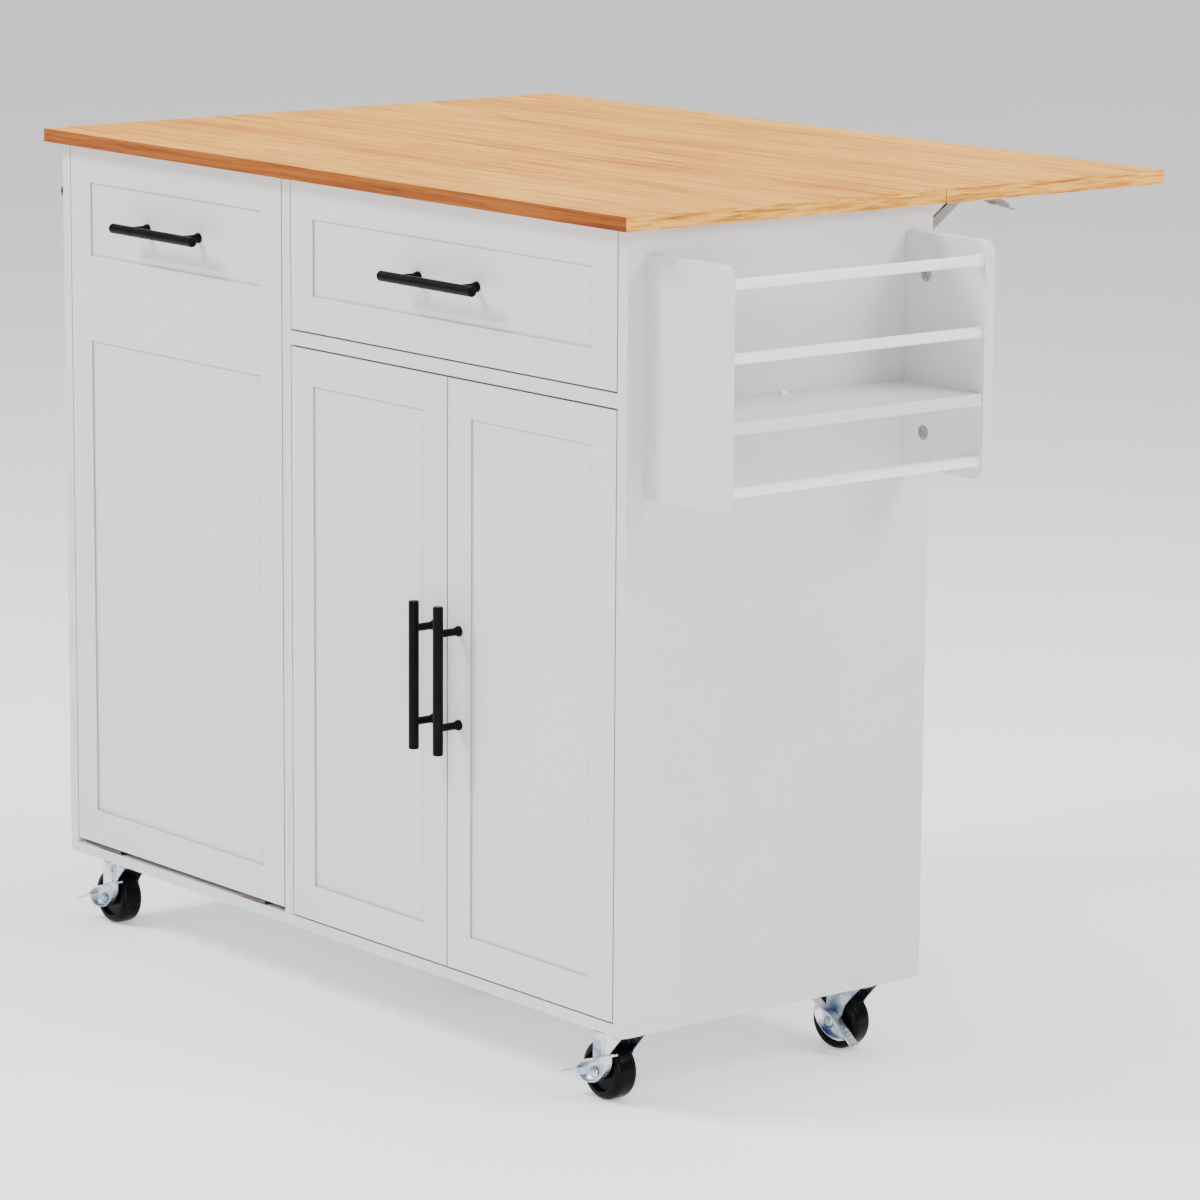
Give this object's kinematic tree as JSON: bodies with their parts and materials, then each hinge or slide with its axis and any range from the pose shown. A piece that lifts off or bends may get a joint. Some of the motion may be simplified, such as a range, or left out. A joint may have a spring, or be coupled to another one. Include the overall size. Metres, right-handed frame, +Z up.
{
  "type": "drop leaf kitchen island",
  "caption": "Rolling kitchen island with a drop leaf worktop, tilt-out trash cabinet, drawer, two-door cupboard, spice rack and towel bar.",
  "frame": {"origin": "middle of the footprint on the floor, spice rack, towel bar, raised leaf and handles included", "axes": "+X to the right along the front, +Y from the front to the back, where the leaf stands out, +Z up"},
  "size_m": [1.195, 0.7562, 0.924],
  "materials": {
    "carcass": "painted board, satin light grey-white",
    "front_board": "painted board, satin light grey-white with a faint lavender tone",
    "inner_board": "melamine-faced board, white",
    "oak_top": "laminated oak-look board, clear satin",
    "black_metal": "satin black",
    "zinc": "bright zinc plated sheet",
    "bracket_steel": "light grey satin",
    "bronze": "antique bronze",
    "wheel_black": "glossy black polyurethane",
    "rod_white": "white satin"
  },
  "bodies": {
    "cabinet": {"base_board": "carcass", "left_side_panel": "carcass", "right_side_panel": "carcass", "divider_panel": "carcass", "middle_rail": "carcass", "back_rail": "carcass", "back_panel": "inner_board", "cupboard_shelf": "inner_board", "worktop": "oak_top", "towel_bar": "black_metal", "rack_front_side": "carcass", "rack_rear_side": "carcass", "rack_shelf": "carcass", "rack_lower_rod": "rod_white", "rack_middle_rod": "rod_white", "rack_upper_rod": "rod_white", "left_bracket_leg": "bracket_steel", "right_bracket_leg": "bracket_steel", "left_door_hinges": "zinc", "right_door_hinges": "zinc", "left_trash_hinge_base_leaf": "bronze", "right_trash_hinge_base_leaf": "bronze", "front_left_caster_plate": "zinc", "front_right_caster_plate": "zinc", "rear_left_caster_plate": "zinc", "rear_right_caster_plate": "zinc", "middle_caster_plate": "zinc"},
    "leaf": {"drop_leaf": "oak_top", "left_bracket_arm": "bracket_steel", "right_bracket_arm": "bracket_steel"},
    "left_strut": {"left_bracket_strut": "bracket_steel"},
    "right_strut": {"right_bracket_strut": "bracket_steel"},
    "left_lever": {"left_release_lever": "bracket_steel"},
    "right_lever": {"right_release_lever": "bracket_steel"},
    "tilt_door": {"trash_door": "front_board", "trash_door_handle": "black_metal", "left_trash_hinge_door_leaf": "bronze", "right_trash_hinge_door_leaf": "bronze", "bin_tray": "inner_board"},
    "drawer": {"drawer_front": "front_board", "drawer_box": "inner_board", "drawer_handle": "black_metal"},
    "cupboard_left_door": {"left_door": "front_board", "left_door_handle": "black_metal"},
    "cupboard_right_door": {"right_door": "front_board", "right_door_handle": "black_metal"},
    "front_left_swivel": {"front_left_caster_fork": "zinc"},
    "front_left_wheel": {"front_left_caster_wheel": "wheel_black"},
    "front_left_brake": {"front_left_brake_pedal": "zinc"},
    "front_right_swivel": {"front_right_caster_fork": "zinc"},
    "front_right_wheel": {"front_right_caster_wheel": "wheel_black"},
    "front_right_brake": {"front_right_brake_pedal": "zinc"},
    "rear_left_swivel": {"rear_left_caster_fork": "zinc"},
    "rear_left_wheel": {"rear_left_caster_wheel": "wheel_black"},
    "rear_left_brake": {"rear_left_brake_pedal": "zinc"},
    "rear_right_swivel": {"rear_right_caster_fork": "zinc"},
    "rear_right_wheel": {"rear_right_caster_wheel": "wheel_black"},
    "rear_right_brake": {"rear_right_brake_pedal": "zinc"},
    "middle_swivel": {"middle_caster_fork": "zinc"},
    "middle_wheel": {"middle_caster_wheel": "wheel_black"}
  },
  "joints": [
    {"name": "leaf_drop", "type": "hinge", "parent": "cabinet", "child": "leaf", "pos_m": [-0.033, 0.07335, 0.897], "axis": [1, 0, 0], "range_deg": [-90, 0]},
    {"name": "left_strut_fold", "type": "hinge", "parent": "cabinet", "child": "left_strut", "pos_m": [-0.443, 0.07335, 0.817], "axis": [1, 0, 0], "range_deg": [-125.2, 0.4]},
    {"name": "right_strut_fold", "type": "hinge", "parent": "cabinet", "child": "right_strut", "pos_m": [0.377, 0.07335, 0.817], "axis": [1, 0, 0], "range_deg": [-125.2, 0.4]},
    {"name": "left_lever_release", "type": "hinge", "parent": "leaf", "child": "left_lever", "pos_m": [-0.443, 0.21935, 0.897], "axis": [1, 0, 0], "range_deg": [-14, 0], "stiffness_Nm_per_rad": 0.05, "springref_deg": 17.19},
    {"name": "right_lever_release", "type": "hinge", "parent": "leaf", "child": "right_lever", "pos_m": [0.377, 0.21935, 0.897], "axis": [1, 0, 0], "range_deg": [-14, 0], "stiffness_Nm_per_rad": 0.05, "springref_deg": 17.19},
    {"name": "trash_tilt", "type": "hinge", "parent": "cabinet", "child": "tilt_door", "pos_m": [-0.3205, -0.34205, 0.099], "axis": [1, 0, 0], "range_deg": [0, 32]},
    {"name": "drawer_slide", "type": "slide", "parent": "cabinet", "child": "drawer", "axis": [0, -1, 0], "range_m": [0, 0.27]},
    {"name": "left_door_swing", "type": "hinge", "parent": "cabinet", "child": "cupboard_left_door", "pos_m": [-0.097, -0.34465, 0.4125], "axis": [0, 0, -1], "range_deg": [0, 90]},
    {"name": "right_door_swing", "type": "hinge", "parent": "cabinet", "child": "cupboard_right_door", "pos_m": [0.461, -0.34465, 0.4125], "axis": [0, 0, 1], "range_deg": [0, 105]},
    {"name": "front_left_caster_swivel", "type": "hinge", "parent": "cabinet", "child": "front_left_swivel", "pos_m": [-0.489, -0.30665, 0.07], "axis": [0, 0, 1], "continuous": true},
    {"name": "front_left_wheel_spin", "type": "hinge", "parent": "front_left_swivel", "child": "front_left_wheel", "pos_m": [-0.502, -0.30665, 0.0315], "axis": [0, 1, 0], "continuous": true},
    {"name": "front_left_brake_press", "type": "hinge", "parent": "front_left_swivel", "child": "front_left_brake", "pos_m": [-0.502, -0.30665, 0.0315], "axis": [0, 1, 0], "range_deg": [0, 60]},
    {"name": "front_right_caster_swivel", "type": "hinge", "parent": "cabinet", "child": "front_right_swivel", "pos_m": [0.423, -0.30665, 0.07], "axis": [0, 0, 1], "continuous": true},
    {"name": "front_right_wheel_spin", "type": "hinge", "parent": "front_right_swivel", "child": "front_right_wheel", "pos_m": [0.41, -0.30665, 0.0315], "axis": [0, 1, 0], "continuous": true},
    {"name": "front_right_brake_press", "type": "hinge", "parent": "front_right_swivel", "child": "front_right_brake", "pos_m": [0.41, -0.30665, 0.0315], "axis": [0, 1, 0], "range_deg": [0, 60]},
    {"name": "rear_left_caster_swivel", "type": "hinge", "parent": "cabinet", "child": "rear_left_swivel", "pos_m": [-0.489, 0.01235, 0.07], "axis": [0, 0, 1], "continuous": true},
    {"name": "rear_left_wheel_spin", "type": "hinge", "parent": "rear_left_swivel", "child": "rear_left_wheel", "pos_m": [-0.50156, 0.00898, 0.0315], "axis": [-0.2588, 0.9659, 0], "continuous": true},
    {"name": "rear_left_brake_press", "type": "hinge", "parent": "rear_left_swivel", "child": "rear_left_brake", "pos_m": [-0.50156, 0.00898, 0.0315], "axis": [-0.2588, 0.9659, 0], "range_deg": [0, 60]},
    {"name": "rear_right_caster_swivel", "type": "hinge", "parent": "cabinet", "child": "rear_right_swivel", "pos_m": [0.423, 0.01235, 0.07], "axis": [0, 0, 1], "continuous": true},
    {"name": "rear_right_wheel_spin", "type": "hinge", "parent": "rear_right_swivel", "child": "rear_right_wheel", "pos_m": [0.41013, 0.01054, 0.0315], "axis": [-0.1392, 0.9903, 0], "continuous": true},
    {"name": "rear_right_brake_press", "type": "hinge", "parent": "rear_right_swivel", "child": "rear_right_brake", "pos_m": [0.41013, 0.01054, 0.0315], "axis": [-0.1392, 0.9903, 0], "range_deg": [-60, 0]},
    {"name": "middle_caster_swivel", "type": "hinge", "parent": "cabinet", "child": "middle_swivel", "pos_m": [-0.018, -0.14215, 0.07], "axis": [0, 0, 1], "continuous": true},
    {"name": "middle_wheel_spin", "type": "hinge", "parent": "middle_swivel", "child": "middle_wheel", "pos_m": [-0.005, -0.14215, 0.0315], "axis": [0, -1, 0], "continuous": true}
  ],
  "couplings": [
    {"joint": "left_strut_fold", "follows": "leaf_drop", "ratio": 1.3872},
    {"joint": "right_strut_fold", "follows": "leaf_drop", "ratio": 1.3872}
  ]
}
